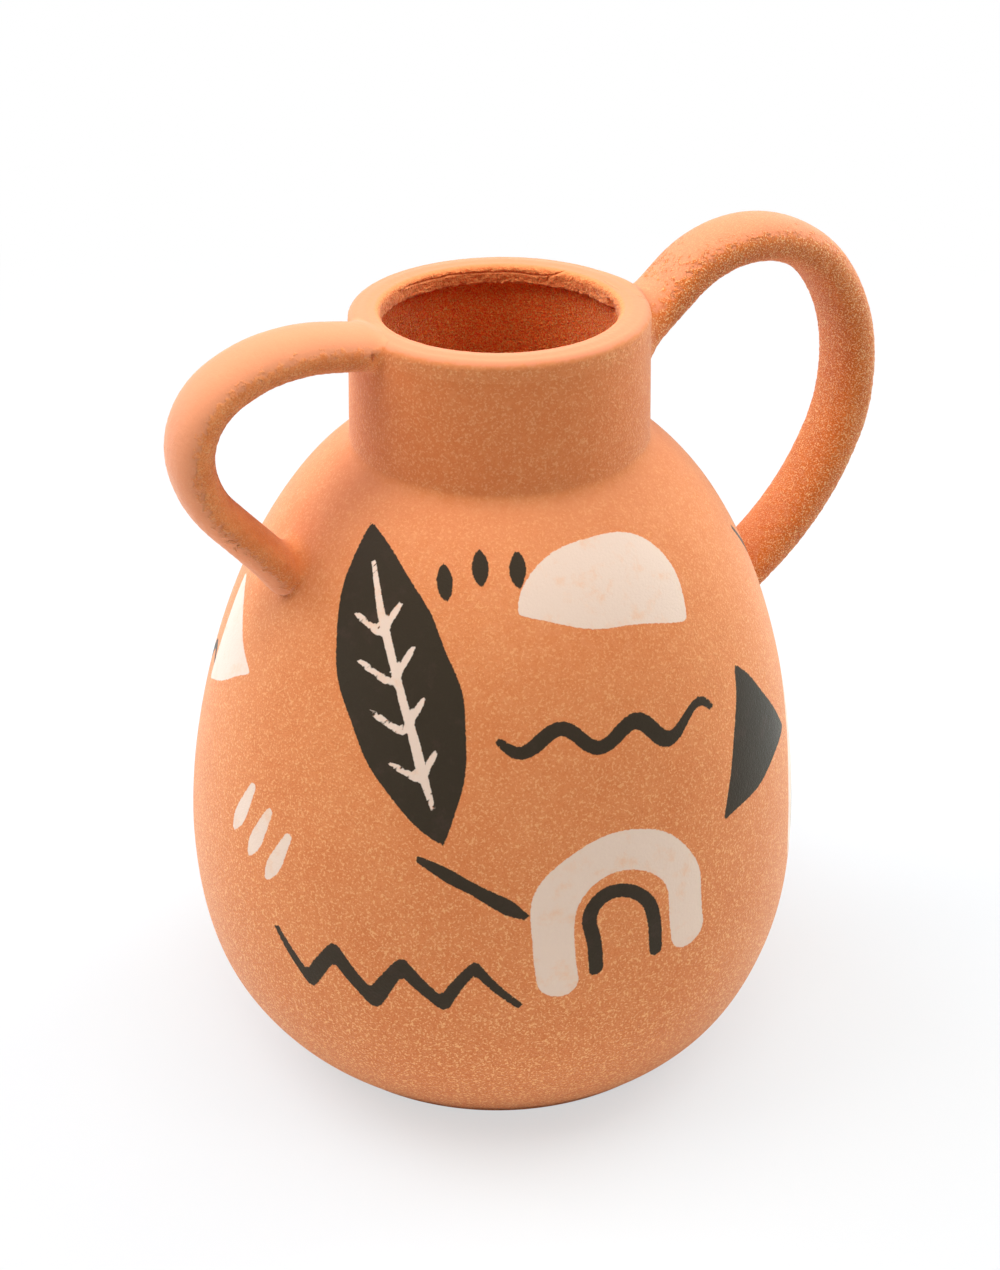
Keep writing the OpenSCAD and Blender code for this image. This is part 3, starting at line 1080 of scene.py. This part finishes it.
def handleDistance(points, size, path):
    # distance out of the handle, an oval sweep with rounded ends
    flat = np.stack([size["side"] * points[..., 0], points[..., 2]], -1).reshape(-1, 2)
    rounding, power = handles["rounding"], handles["squareness"]
    along = lengthsAlong(path[:, :2])
    start, end = path[:-1, :2], path[1:, :2]
    step = end - start
    gap = flat[:, None] - start[None]
    share = np.clip((gap * step).sum(-1) / (step ** 2).sum(-1), 0, 1)
    miss = np.hypot(*np.moveaxis(gap - share[..., None] * step, -1, 0))
    pick = miss.argmin(1)
    share = share[np.arange(len(flat)), pick]
    way = path[pick, 2] + share * (path[pick + 1, 2] - path[pick, 2])
    at = along[pick] + share * (along[pick + 1] - along[pick])
    gap = flat - start[pick] - share[:, None] * step[pick]
    outward = -gap[:, 0] * np.sin(way) + gap[:, 1] * np.cos(way)
    beyond = np.maximum(rounding - at, 0) + np.maximum(at - (along[-1] - rounding), 0)
    beyond = beyond + np.abs(gap[:, 0] * np.cos(way) + gap[:, 1] * np.sin(way))
    thick = size["startThickness"] + (size["endThickness"] - size["startThickness"]) * at / along[-1]
    halves = np.stack([thick / 2, 0 * thick + handles["width"] / 2])
    local = np.maximum(np.abs([outward, points[..., 1].reshape(-1)]), 1e-7)
    beyond = np.maximum(beyond, 1e-7) / rounding
    section = ((local / halves) ** power).sum(0) ** (1 / power)
    near = np.hypot(section, beyond)
    slope = (local / halves) ** (power - 1) / halves * section ** (2 - power) / near
    slope = np.sqrt((slope ** 2).sum(0) + (beyond / rounding / near) ** 2)
    return ((near - 1) / np.maximum(slope, 1e-9)).reshape(points.shape[:-1])


def rootFrame(size, upper):
    # the handle's path, and where it meets the pot: the middle, the way out along the handle,
    # the way up across it, and its thickness there
    path, entry = handlePath(size)
    if upper:
        at = path[round(handles["rounding"] / handles["step"])]
        thick, way = size["startThickness"], at[2]
    else:
        at = path[entry]
        thick, way = size["endThickness"], at[2] + math.pi
    centre = np.array([size["side"] * at[0], 0, at[1]])
    axis = np.array([size["side"] * math.cos(way), 0, math.sin(way)])
    outward = np.array([-size["side"] * math.sin(way), 0, math.cos(way)])
    if outward[2] < 0:
        outward = -outward
    return path, centre, axis, outward, thick


def rootRings(root, size, upper, shares):
    # a ring of points for each share of the way, 1 on the handle and -1 on the pot,
    # with how far up each of its points faces, and the middle of the root
    path, centre, axis, outward, thick = rootFrame(size, upper)
    turn = np.linspace(0, fullTurn, roots["stepsRound"], endpoint=False)
    upness = np.cos(turn)
    across = np.array([0, handles["width"] / 2, 0])
    spoke = upness[:, None] * thick / 2 * outward + np.sin(turn)[:, None] * across
    top, side, low = root["blend"]
    softness = side + np.where(upness > 0, top - side, low - side) * upness ** 2

    def place(ring, along):
        return centre + ring[:, None] * spoke + along[:, None] * axis

    def misfit(ring, along):
        spot = place(ring, along)
        return np.array([handleDistance(spot, size, path), potDistance(spot)]) - wanted

    ring, along = np.ones(len(turn)), softness * roots["firstTry"]
    (mostRing, mostAlong), (nudgeRing, nudgeAlong) = roots["farthest"], roots["nudge"]
    rings = []
    for t in shares:
        # the clay lies off both skins in the middle of the blend, and runs out under them past its ends
        rest = np.maximum(1 - abs(t), 0) ** 2 * softness / 4 - (roots["tuck"] if abs(t) > 1 else 0)
        wanted = np.array([rest + max(-t, 0) * softness, rest + max(t, 0) * softness])
        for _ in range(roots["tries"]):
            f1, f2 = misfit(ring, along)
            a1, a2 = (misfit(ring + nudgeRing, along) - (f1, f2)) / nudgeRing
            b1, b2 = (misfit(ring, along + nudgeAlong) - (f1, f2)) / nudgeAlong
            det = a1 * b2 - a2 * b1
            det = np.where(np.abs(det) < 1e-6, 1e-6, det)
            ring = ring + np.clip((b1 * f2 - f1 * b2) / det, -mostRing, mostRing)
            along = along + np.clip((a2 * f1 - a1 * f2) / det, -mostAlong, mostAlong)
        miss = max(np.abs(f1).max(), np.abs(f2).max())
        if miss > roots["mayMiss"]:
            print(f"a root's ring at {t:.2f} misses by {miss / mm:.2f} mm")
        rings.append(place(ring, along))
    return np.array(rings), upness, centre


def makeRoot(name, size, upper):
    rows, count, end = roots["stepsAlong"], roots["stepsRound"], 1 + roots[name]["overlap"]
    share = np.linspace(end, -end, rows)
    outer, upness, centre = rootRings(roots[name], size, upper, share)
    # the underside lies inside handle and pot, and meets the outside at both ends
    roundStep = np.roll(outer, -1, axis=1) - np.roll(outer, 1, axis=1)
    normal = np.cross(np.gradient(outer, axis=0), roundStep)
    normal /= np.linalg.norm(normal, axis=2, keepdims=True)
    if (normal[rows // 2] * (outer[rows // 2] - centre)).sum() < 0:
        normal = -normal
    fade = np.sin(math.pi * np.arange(rows) / (rows - 1))[:, None, None]
    under = outer - normal * roots["depth"] * (roots["endDepth"] + fade)
    shell = np.vstack([outer, under[::-1]])
    corner = np.arange(len(shell) * count).reshape(-1, count)
    corners = [np.roll(corner, shift, axis=(0, 1)) for shift in ((0, 0), (0, -1), (-1, -1), (-1, 0))]
    faces = np.stack(corners, -1).reshape(-1, 4).tolist()
    source = meshObject(name + "Shell", shell.reshape(-1, 3), faces=faces)
    handleShare = np.clip((share + 1) / 2 / roots["lookFade"], 0, 1)
    facing = upness if upper else -upness
    for label, values in (("handleShare", np.repeat(np.r_[handleShare, 0 * handleShare], count)),
                          ("outerFace", np.tile(facing, len(shell)))):
        source.data.attributes.new(label, "FLOAT", "POINT").data.foreach_set("value", values)
    # outside out, whichever way the handle goes
    if source.data.polygons[rows // 2 * count].normal.dot(outer[rows // 2, 0] - centre) < 0:
        source.data.flip_normals()
    return throughTree(name + "Root", source, workedRoot, {
        "Grit Height": size["grit"], "Clay": rootClays[name]})


# painted marks: distances to their edges, kept on the body's mesh for the slip to follow

marks = {
    "front": -117,              # degrees: where the first side faces
    "wander": 0.6 * mm,         # how far a brushed edge strays
    "steady": 0.4,              # share of that where the brush draws a thin line
    "wanderU": (9 * mm, 3.7 * mm),      # long and short waves of that, across and along a mark
    "wanderV": (8 * mm, 4.1 * mm),
    "startTaper": 0.16,         # shares of a stroke's length
    "endTaper": 0.30,
    "uneven": 0.12,
    "corner": 1.6 * mm,
    "underlap": 0.15 * mm,      # how far an earlier mark runs under a later one
    "reach": 6 * mm,
}
brushed = [
    # ink, kind, degrees round from the front, height in mm, turn in degrees, sizes in mm
    ("charcoal", "leaf", -21, 152, 24, 92, 34),
    ("cream", "line", -21, 152, 24, 70, 2.6),
    ("cream", "sprig", -21, 150, 24, 48, 9, 2.0),
    ("cream", "halfMoon", 27, 166, -14, 26),
    ("charcoal", "wave", 24, 139, -5, 66, 3.2, 4.4),
    ("cream", "arch", 22, 86, 6, 21, 12, 15),
    ("charcoal", "arch", 22, 85, 6, 9.5, 4.4, 14),
    ("charcoal", "zigzag", -19, 66, 4, 74, 7, 4.6),
    ("cream", "rungs", -47, 98, 66, 18, 9.5, 4.6),
    ("charcoal", "wedge", 60, 118, 8, 27),
    ("charcoal", "line", -4, 99, 62, 34, 4.2),
    ("charcoal", "seeds", -5, 182, 12, 10, 11, 4.6),
    # round the sides and the back
    ("cream", "leaf", 88, 96, -28, 84, 30),
    ("charcoal", "line", 88, 96, -28, 64, 2.8),
    ("charcoal", "zigzag", 112, 158, -6, 60, 6, 4.2),
    ("charcoal", "arch", 132, 76, -4, 22, 12, 16),
    ("cream", "arch", 132, 75, -4, 10, 4.6, 15),
    ("cream", "rungs", 150, 134, 20, 20, 9, 4.6),
    ("charcoal", "halfMoon", 176, 112, 160, 25),
    ("cream", "wave", 172, 66, 4, 70, 3.4, 4.4),
    ("charcoal", "seeds", 186, 164, -10, 10, 11, 4.6),
    ("charcoal", "leaf", -136, 112, 30, 96, 32),
    ("cream", "line", -136, 112, 30, 72, 2.6),
    ("cream", "arch", -104, 66, 5, 19, 11, 14),
    ("charcoal", "wave", -100, 122, 8, 56, 3.2, 4.2),
    ("cream", "wedge", -74, 138, 150, 21),
]


def strokeEdge(u, v, points, thickness):
    # a brush stroke through the points, thinner at both ends
    points = np.asarray(points, float)
    along = lengthsAlong(points)
    along = along / along[-1]
    best = np.full(u.shape, np.inf)
    for i, (start, step) in enumerate(zip(points, np.diff(points, axis=0))):
        share = np.clip(((u - start[0]) * step[0] + (v - start[1]) * step[1]) / (step ** 2).sum(), 0, 1)
        miss = np.hypot(u - start[0] - share * step[0], v - start[1] - share * step[1])
        at = along[i] + share * (along[i + 1] - along[i])
        taper = np.minimum(at / marks["startTaper"], (1 - at) / marks["endTaper"])
        full = 0.5 + 0.5 * np.clip(taper, 0, 1)
        uneven = 1 + marks["uneven"] * np.sin(9 * at + points[0, 0] * 900)
        best = np.minimum(best, miss - thickness / 2 * full * uneven)
    return best


def roundedMeet(*sides):
    # where all the sides overlap, with softened corners
    corner = marks["corner"]
    sides = np.array([side + corner for side in sides])
    return np.sqrt((np.maximum(sides, 0) ** 2).sum(0)) + np.minimum(sides.max(0), 0) - corner


def leafEdge(u, v, long, wide):
    radius = (long ** 2 + wide ** 2) / (4 * wide)
    return np.maximum(*(np.hypot(u + side * (radius - wide / 2), v) for side in (-1, 1))) - radius


def lineEdge(u, v, long, thick):
    return strokeEdge(u, v, [(0, -long / 2), (long * 0.02, 0), (0, long / 2)], thick)


def sprigEdge(u, v, long, wide, thick):
    # veins in pairs up a leaf
    veins = []
    for at in np.linspace(-0.5, 0.36, 4):
        reach = wide * (1 - 0.5 * abs(at))
        for side in (-1, 1):
            veins.append(strokeEdge(u, v, [(0, at * long), (side * reach, at * long + reach * 0.95)], thick))
    return np.min(veins, 0)


def halfMoonEdge(u, v, radius):
    return roundedMeet(np.hypot(u, v) - radius, -v)


def archEdge(u, v, radius, thick, leg):
    down = np.maximum(-leg - v, 0)
    legs = np.hypot(np.abs(np.abs(u) - radius), down)
    return np.where(v > 0, np.abs(np.hypot(u, v) - radius), legs) - thick / 2


def waveEdge(u, v, long, swing, thick):
    at = np.linspace(-0.5, 0.5, 36)
    return strokeEdge(u, v, np.stack([at * long, swing * np.sin(at * 3 * fullTurn)], 1), thick)


def zigzagEdge(u, v, long, swing, thick):
    at = np.linspace(-0.5, 0.5, 8)
    return strokeEdge(u, v, [(a * long, swing * (-1) ** i) for i, a in enumerate(at)], thick)


def rungsEdge(u, v, long, gap, thick):
    rung = [(-long / 2, 0), (long / 2, 0.8 * mm)]
    return np.min([strokeEdge(u, v - i * gap, rung, thick) for i in (-1, 0, 1)], 0)


def wedgeEdge(u, v, size):
    turns = np.radians([90, 210, 330])
    return roundedMeet(*(-(u * np.cos(turn) + v * np.sin(turn)) - size / 2 for turn in turns))


def seedsEdge(u, v, gap, long, wide):
    return np.min([leafEdge(u - i * gap, v + abs(i) * 2.5 * mm, long, wide) for i in (-1, 0, 1)], 0)


markEdges = {
    "leaf": leafEdge, "line": lineEdge, "sprig": sprigEdge, "halfMoon": halfMoonEdge, "arch": archEdge,
    "wave": waveEdge, "zigzag": zigzagEdge, "rungs": rungsEdge, "wedge": wedgeEdge, "seeds": seedsEdge,
}


def makeMarks(piece):
    count = len(piece.data.vertices)
    spots = np.empty(count * 3)
    piece.data.vertices.foreach_get("co", spots)
    x, y, z = spots.reshape(-1, 3).T
    out = np.hypot(x, y)
    heights = np.linspace(0, shoulderZ, 600)
    rise = lengthsAlong(np.stack([eggR(heights), heights], 1))
    up = np.interp(z, heights, rise)
    edges = {ink: np.full(count, marks["reach"]) for ink in ("cream", "charcoal")}
    for i, (ink, kind, about, height, turn, *size) in enumerate(brushed):
        away = (np.arctan2(y, x) - math.radians(marks["front"] + about) + math.pi) % fullTurn - math.pi
        u, v = out * away, up - np.interp(height * mm, heights, rise)
        turn = math.radians(turn)
        u, v = u * math.cos(turn) + v * math.sin(turn), v * math.cos(turn) - u * math.sin(turn)
        stray = marks["wander"] * (marks["steady"] if kind in ("line", "sprig") else 1)
        (longU, shortU), (longV, shortV) = marks["wanderU"], marks["wanderV"]
        u, v = (u + stray * (np.sin(v / longU + i) + 0.5 * np.sin(v / shortU + 2 * i)),
                v + stray * (np.sin(u / longV + 3 * i) + 0.5 * np.sin(u / shortV + i)))
        edge = markEdges[kind](u, v, *(part * mm for part in size))
        edges[ink] = np.minimum(edges[ink], edge)
        other = "charcoal" if ink == "cream" else "cream"
        edges[other] = np.maximum(edges[other], -edge - marks["underlap"])
    outside = out > eggR(z) - wall / 2
    for ink, edge in edges.items():
        edge = np.where(outside, np.clip(edge, -marks["reach"], marks["reach"]), marks["reach"])
        kept = piece.data.attributes.new(ink + "Edge", "FLOAT", "POINT")
        kept.data.foreach_set("value", edge.astype(np.float32))


# building

seat(makeBaseSlab(), "base_slab")
seat(makeBaseCoil(), "base_luting")
body = makeBodyWall()
makeMarks(body)
seat(body, "body_wall")
seat(makeNeckFillet(), "neck_luting")
seat(makeNeckCollar(), "neck_collar")
seat(makeLip(), "rim_roll")
seat(makeHandle("smallHandle", smallHandle), "small_handle")
seat(makeHandle("largeHandle", largeHandle), "large_handle")
for name, size in (("small", smallHandle), ("large", largeHandle)):
    seat(makeRoot(name + "Upper", size, True), name + "_handle_upper_luting")
    seat(makeRoot(name + "Lower", size, False), name + "_handle_lower_luting")


# studio

studio = {
    "aimZ": 126.97 * mm,        # height that the camera looks at
    "aimSide": 0.92 * mm,
    "azimuth": -27,
    "pitch": 30.591,
    "distance": 642.44 * mm,
    "lens": 59.53,
    "lamps": {                  # right, towards the camera, up, power, tint
        "front": (0.1, 1.3, 0.45, 1.6, (1, 1, 1)),
        "overhead": (0.0, 0.0, 1.3, 12.3, (1, 1, 1)),
        "overheadLeft": (-0.8, 0.0, 1.1, 11.0, (1, 1, 1)),
        "overheadRight": (0.8, 0.0, 1.1, 4.6, (1, 1, 1)),
        "leftRim": (-1.0, -0.8, 0.5, 9.6, (0.82, 1.10, 1.42)),
        "rightRim": (1.0, -0.8, 0.5, 14.4, (0.87, 1.07, 1.19)),
    },
    "lampSize": 0.9,
    "lampAimZ": 120 * mm,
    "sky": 0.02,
    "floorSize": 4.0,
    "floorColour": (0.94, 0.93, 0.91, 1),
    "shadowColour": (0.26, 0.26, 0.26, 1),
    "shadowLift": 0.62,         # what the camera sees of the floor in full shadow
    "shadowFrom": 0.12,
    "shadowSize": 0.75,         # beyond this the backdrop is plain white
}
white = (1, 1, 1, 1)
viewTurn = math.radians(studio["azimuth"])
toRight = np.array([math.cos(viewTurn), math.sin(viewTurn), 0])
toFront = np.array([math.sin(viewTurn), -math.cos(viewTurn), 0])
upward = np.array([0, 0, 1])


def makeCamera():
    pitch = math.radians(studio["pitch"])
    back = toFront * math.cos(pitch) + upward * math.sin(pitch)
    camera = placeObject("camera", bpy.data.cameras.new("camera"))
    camera.data.lens = studio["lens"]
    camera.location = upward * studio["aimZ"] + toRight * studio["aimSide"] + back * studio["distance"]
    camera.rotation_euler = (math.pi / 2 - pitch, 0, viewTurn)
    bpy.context.scene.camera = camera


def makeLamp(name, right, front, up, power, tint):
    data = bpy.data.lights.new(name, "AREA")
    data.energy, data.size, data.color = power, studio["lampSize"], tint
    place = toRight * right + toFront * front + upward * up
    way = upward * studio["lampAimZ"] - place
    lamp = placeObject(name, data)
    lamp.location = place
    lamp.rotation_euler = (math.atan2(math.hypot(way[0], way[1]), -way[2]), 0, math.atan2(-way[0], way[1]))


def makeFloor():
    half = studio["floorSize"]
    floor = meshObject("floor", [(-half, -half, 0), (half, -half, 0), (half, half, 0), (-half, half, 0)],
                       faces=[(0, 1, 2, 3)])
    material = bpy.data.materials.new("paleFloor")
    openNodes(material)
    seen = wire("ShaderNodeLightPath")
    away = vectors("LENGTH", wire("ShaderNodeTexCoord", {}, "Object"))
    plain = wire("ShaderNodeBsdfDiffuse", {"Color": studio["floorColour"]})
    bright = wire("ShaderNodeEmission", {"Color": white, "Strength": 1.0})
    soft = wire("ShaderNodeBsdfDiffuse", {"Color": studio["shadowColour"]})
    lift = wire("ShaderNodeEmission", {"Color": white, "Strength": studio["shadowLift"]})
    near = wire("ShaderNodeAddShader", {0: soft, 1: lift})
    fade = ease(away, studio["shadowFrom"], studio["shadowSize"])
    shown = wire("ShaderNodeMixShader", {0: fade, 1: near, 2: bright})
    mixed = wire("ShaderNodeMixShader", {0: seen, 1: plain, 2: shown})
    add("ShaderNodeOutputMaterial", {"Surface": mixed})
    floor.data.materials.append(material)


def makeSky():
    world = bpy.context.scene.world = bpy.data.worlds.new("studio")
    openNodes(world)
    seen = wire("ShaderNodeLightPath")
    strength = wire("ShaderNodeMix", {"Factor": seen, "A": studio["sky"], "B": 1.0})
    back = wire("ShaderNodeBackground", {"Color": white, "Strength": strength})
    add("ShaderNodeOutputWorld", {"Surface": back})


makeCamera()
makeFloor()
makeSky()
for name, lamp in studio["lamps"].items():
    makeLamp(name, *lamp)
bpy.context.scene.view_settings.view_transform = "Standard"
print("studio: lit")
